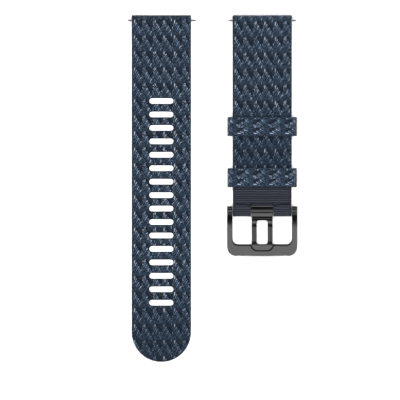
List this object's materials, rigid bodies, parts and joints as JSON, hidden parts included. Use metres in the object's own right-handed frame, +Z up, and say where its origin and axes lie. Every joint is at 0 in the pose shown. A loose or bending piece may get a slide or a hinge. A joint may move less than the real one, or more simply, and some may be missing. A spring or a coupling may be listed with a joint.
{
  "type": "fitness tracker band",
  "caption": "Two-piece woven band: slotted long strap, short strap with keepers and a pin buckle, and spring bars that clip each half to a tracker's lugs.",
  "frame": {"origin": "middle of the footprint of both halves, on the surface that they lie on", "axes": "+Y along the straps towards the lug ends, +X from the long half to the short half, +Z up out of the face"},
  "size_m": [0.063, 0.129, 0.0069],
  "materials": {
    "webbing": "chevron-woven polyester, dark navy with blue-grey yarns",
    "keeper_webbing": "the same chevron weave turned sideways",
    "ribbon": "ribbed grosgrain, dark slate",
    "gunmetal": "satin gunmetal coating",
    "steel": "bright drawn stainless steel"
  },
  "bodies": {
    "root": {"long_strap_webbing": "webbing", "long_strap_lining": "ribbon", "long_bar_tube": "steel", "long_bar_spring": "steel", "short_strap_webbing": "webbing", "short_strap_ribbon": "ribbon", "short_bar_tube": "steel", "short_bar_spring": "steel", "fixed_keeper": "keeper_webbing", "buckle_bar_tube": "steel", "buckle_bar_spring": "steel"},
    "free_keeper": {"free_keeper": "keeper_webbing"},
    "buckle_frame": {"buckle_frame": "gunmetal"},
    "buckle_tongue": {"buckle_tongue": "gunmetal"},
    "long_lever_tip": {"long_bar_lever_tip": "steel", "long_bar_release_lever": "steel"},
    "long_plain_tip": {"long_bar_plain_tip": "steel"},
    "short_lever_tip": {"short_bar_lever_tip": "steel", "short_bar_release_lever": "steel"},
    "short_plain_tip": {"short_bar_plain_tip": "steel"},
    "buckle_left_tip": {"buckle_bar_left_tip": "steel"},
    "buckle_right_tip": {"buckle_bar_right_tip": "steel"}
  },
  "joints": [
    {"name": "buckle_frame_hinge", "type": "hinge", "parent": "root", "child": "buckle_frame", "pos_m": [0.01843, -0.00845, 0.00335], "axis": [-1, 0, 0], "range_deg": [-60, 50]},
    {"name": "buckle_tongue_hinge", "type": "hinge", "parent": "buckle_frame", "child": "buckle_tongue", "pos_m": [0.01843, -0.00845, 0.00335], "axis": [-1, 0, 0], "range_deg": [0, 70]},
    {"name": "free_keeper_slide", "type": "slide", "parent": "root", "child": "free_keeper", "axis": [0, 1, 0], "range_m": [-0.0115, 0.026]},
    {"name": "long_lever_tip_slide", "type": "slide", "parent": "root", "child": "long_lever_tip", "axis": [1, 0, 0], "range_m": [0, 0.0015], "stiffness_N_per_m": 1200, "springref_m": -0.001, "deforming": ["long_bar_spring"]},
    {"name": "long_plain_tip_slide", "type": "slide", "parent": "root", "child": "long_plain_tip", "axis": [-1, 0, 0], "range_m": [0, 0.0015], "stiffness_N_per_m": 1200, "springref_m": -0.001, "deforming": ["long_bar_spring"]},
    {"name": "short_lever_tip_slide", "type": "slide", "parent": "root", "child": "short_lever_tip", "axis": [1, 0, 0], "range_m": [0, 0.0015], "stiffness_N_per_m": 1200, "springref_m": -0.001, "deforming": ["short_bar_spring"]},
    {"name": "short_plain_tip_slide", "type": "slide", "parent": "root", "child": "short_plain_tip", "axis": [-1, 0, 0], "range_m": [0, 0.0015], "stiffness_N_per_m": 1200, "springref_m": -0.001, "deforming": ["short_bar_spring"]},
    {"name": "buckle_left_tip_slide", "type": "slide", "parent": "root", "child": "buckle_left_tip", "axis": [1, 0, 0], "range_m": [0, 0.0012], "stiffness_N_per_m": 1200, "springref_m": -0.001, "deforming": ["buckle_bar_spring"]},
    {"name": "buckle_right_tip_slide", "type": "slide", "parent": "root", "child": "buckle_right_tip", "axis": [-1, 0, 0], "range_m": [0, 0.0012], "stiffness_N_per_m": 1200, "springref_m": -0.001, "deforming": ["buckle_bar_spring"]}
  ]
}
